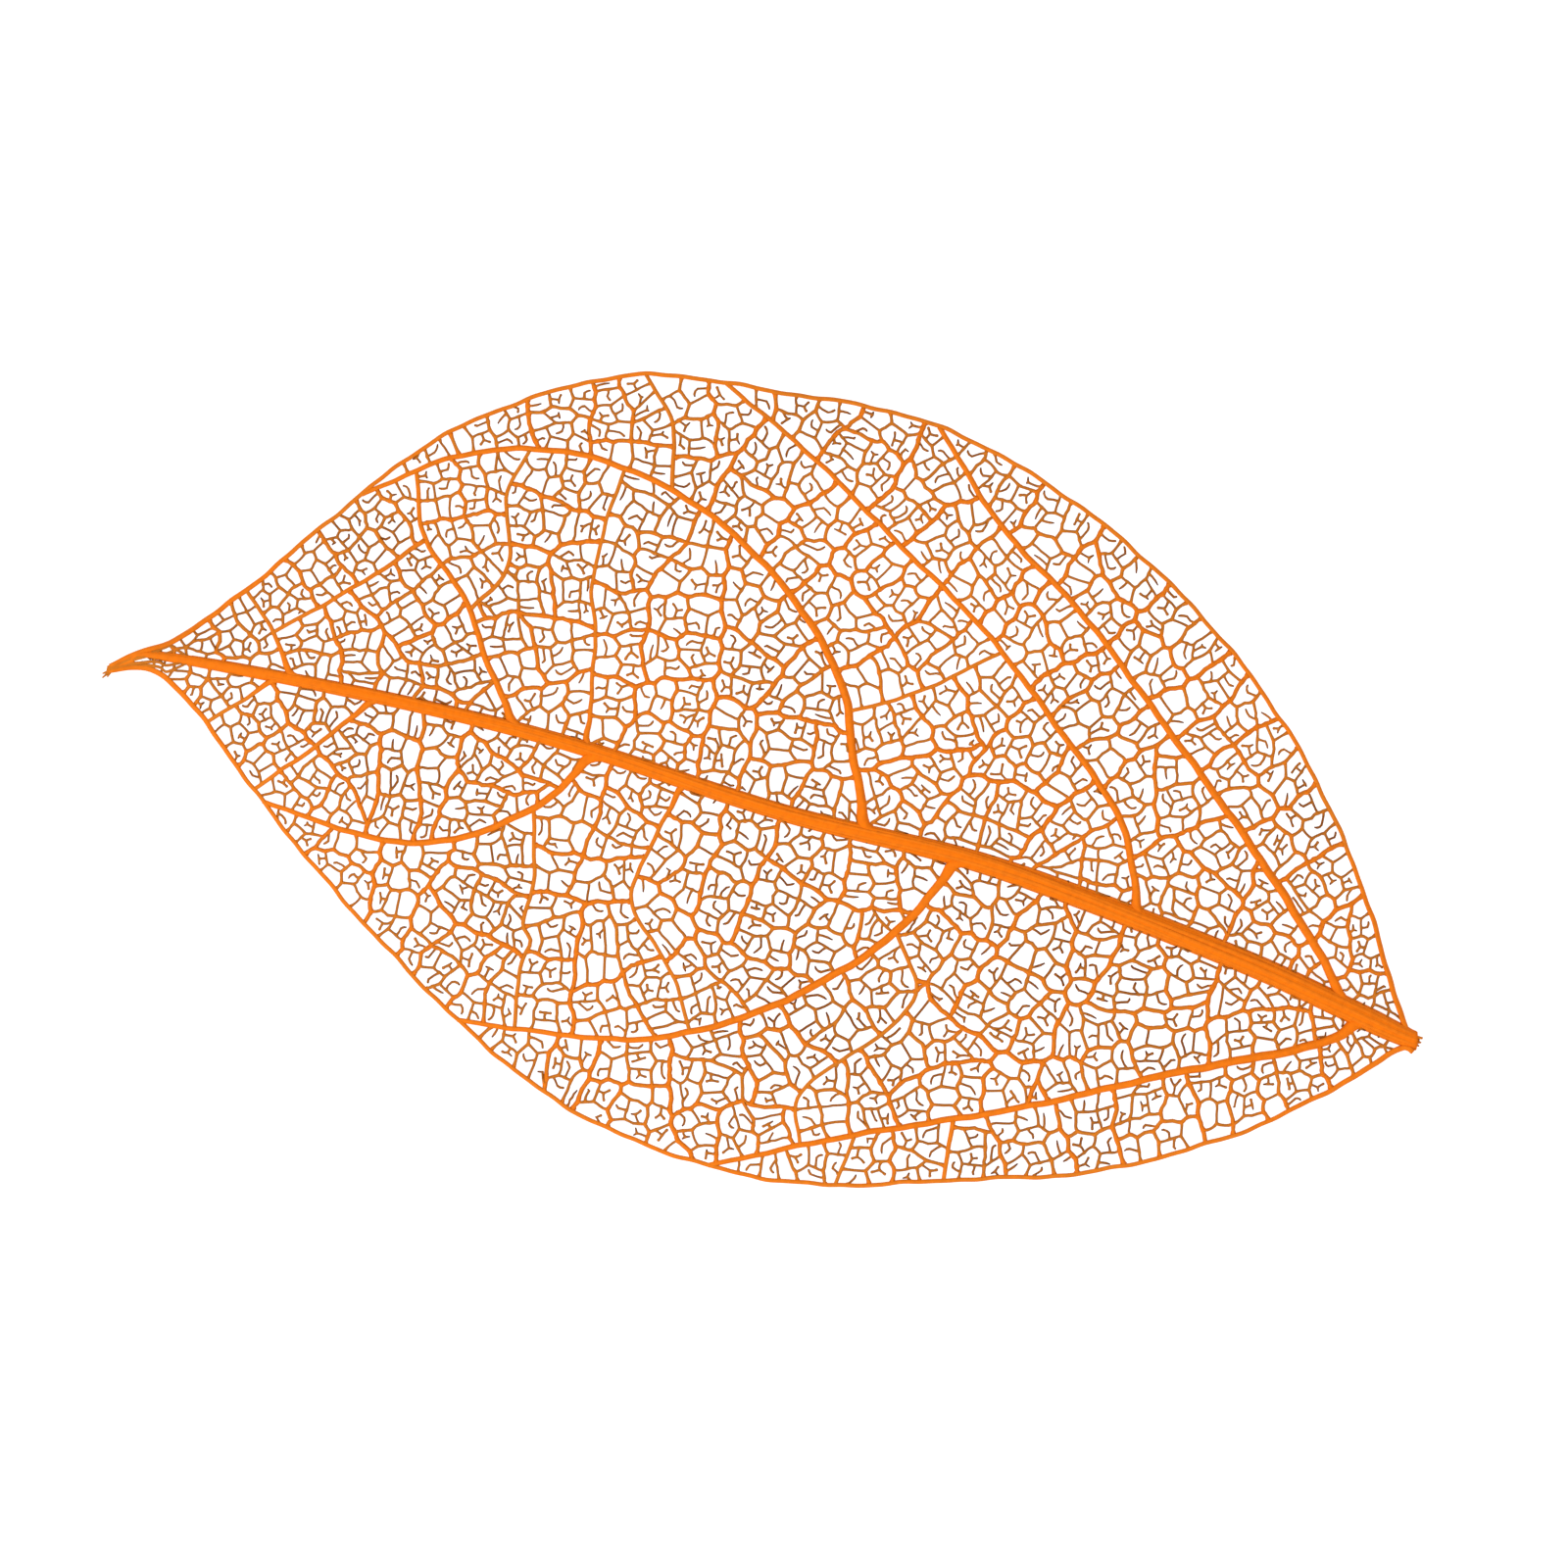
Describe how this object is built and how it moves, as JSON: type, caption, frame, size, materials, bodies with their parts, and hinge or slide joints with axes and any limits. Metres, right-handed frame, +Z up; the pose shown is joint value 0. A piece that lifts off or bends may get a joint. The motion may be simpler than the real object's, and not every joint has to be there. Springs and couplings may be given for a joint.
{
  "type": "skeleton leaf",
  "caption": "Skeleton leaf: an open vein net with a midrib, looping side veins and a bound margin, in a gently domed oval with a narrow drip tip.",
  "frame": {"origin": "middle of the bounding box, on the surface the leaf lies on", "axes": "+Y from the cut stalk to the drip tip, +Z up away from the surface, +X across the blade"},
  "size_m": [0.0518, 0.091, 0.0041],
  "materials": {
    "leaf_fibre": "orange-dyed bare plant fibre, matt with a faint silky sheen"
  },
  "bodies": {
    "root": {"leaf_skeleton": "leaf_fibre"}
  },
  "joints": []
}
